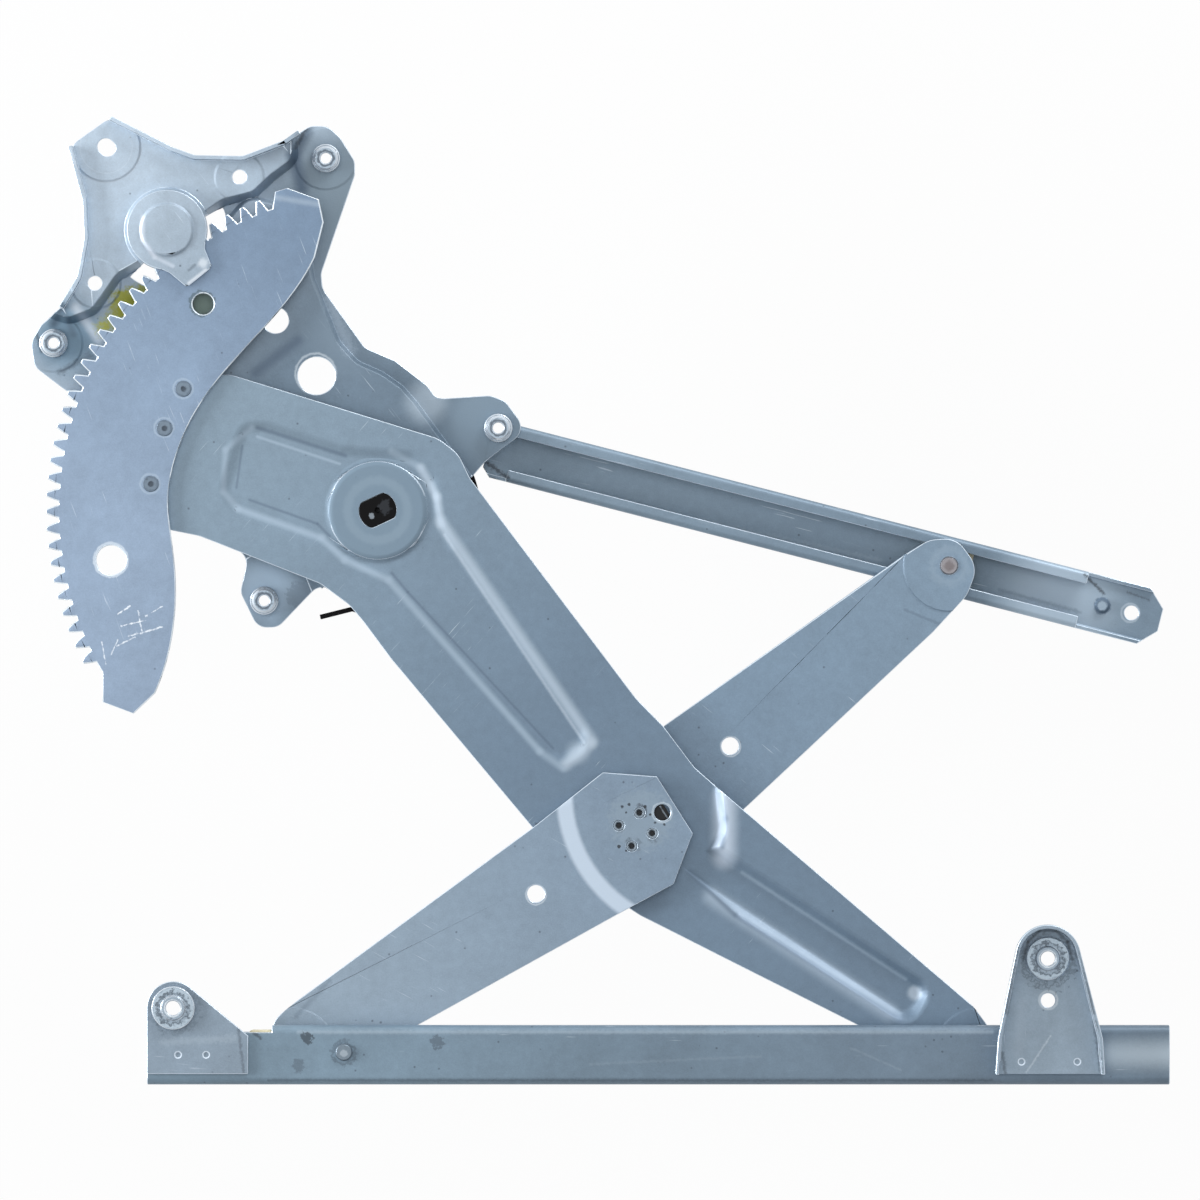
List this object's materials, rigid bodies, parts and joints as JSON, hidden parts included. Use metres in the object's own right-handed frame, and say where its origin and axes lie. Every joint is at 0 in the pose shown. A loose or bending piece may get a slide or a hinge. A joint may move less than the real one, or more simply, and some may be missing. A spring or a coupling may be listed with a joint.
{
  "type": "window regulator",
  "caption": "Crossed-arm window regulator: stamped base plate, toothed sector on a long lift arm, riveted cross arm, guide rail and glass channel with brackets.",
  "frame": {"origin": "axis of the base plate's lower panel nut, in the plane of the door's inner panel", "axes": "the regulator lies on its back; +X along the glass channel, towards its longer end; +Y from the channel towards the motor seat; +Z away from the door panel, along every hinge axis"},
  "size_m": [0.5233, 0.4448, 0.0494],
  "materials": {
    "galvanised_sheet": "galvanised sheet with scuffs and bright cut edges",
    "plated_steel": "zinc-plated steel, lightly worn",
    "cream_nylon": "cream nylon",
    "black_shaft": "black phosphated steel",
    "black_spring": "black spring steel"
  },
  "bodies": {
    "base": {"base_plate": "galvanised_sheet", "panel_nuts": "plated_steel", "pivot_bush": "plated_steel", "counterbalance_spring": "black_spring"},
    "lift": {"lift_arm": "galvanised_sheet", "sector_gear": "plated_steel", "sector_rivets": "plated_steel", "pivot_shaft": "black_shaft", "shaft_clip": "plated_steel", "right_pin": "plated_steel"},
    "cross": {"cross_arm_upper": "galvanised_sheet", "cross_arm_lower": "galvanised_sheet", "centre_bush": "plated_steel", "centre_rivets": "plated_steel", "upper_pin": "plated_steel", "left_pin": "plated_steel"},
    "channel": {"glass_channel": "galvanised_sheet", "left_bracket": "galvanised_sheet", "right_bracket": "galvanised_sheet", "bracket_nuts": "plated_steel", "channel_stop": "plated_steel", "left_shoe": "cream_nylon"},
    "right_shoe": {"right_shoe": "cream_nylon"},
    "upper_shoe": {"upper_shoe": "cream_nylon"},
    "upper_rail": {"upper_rail": "galvanised_sheet"}
  },
  "joints": [
    {"name": "lift_swing", "type": "hinge", "parent": "base", "child": "lift", "pos_m": [0.0524, 0.0415, 0.007], "axis": [0, 0, 1], "range_deg": [-82, 12]},
    {"name": "scissor_fold", "type": "hinge", "parent": "lift", "child": "cross", "pos_m": [0.17099, -0.10515, 0.0102], "axis": [0, 0, 1], "range_deg": [-145, 1]},
    {"name": "channel_swivel", "type": "hinge", "parent": "cross", "child": "channel", "pos_m": [0.01317, -0.20842, 0.02], "axis": [0, 0, 1], "range_deg": [-1, 73]},
    {"name": "right_shoe_swivel", "type": "hinge", "parent": "lift", "child": "right_shoe", "pos_m": [0.3288, -0.20842, 0.02], "axis": [0, 0, 1], "range_deg": [-73, 1]},
    {"name": "upper_shoe_swivel", "type": "hinge", "parent": "cross", "child": "upper_shoe", "pos_m": [0.31546, 0.01608, -0.005], "axis": [0, 0, 1], "range_deg": [-1, 73]},
    {"name": "rail_slide", "type": "slide", "parent": "upper_shoe", "child": "upper_rail", "axis": [0.9686, -0.2487, 0], "range_m": [0, 0.19]}
  ],
  "couplings": [
    {"joint": "channel_swivel", "follows": "scissor_fold", "ratio": -0.5},
    {"joint": "right_shoe_swivel", "follows": "scissor_fold", "ratio": 0.5},
    {"joint": "upper_shoe_swivel", "follows": "scissor_fold", "ratio": -0.5}
  ]
}
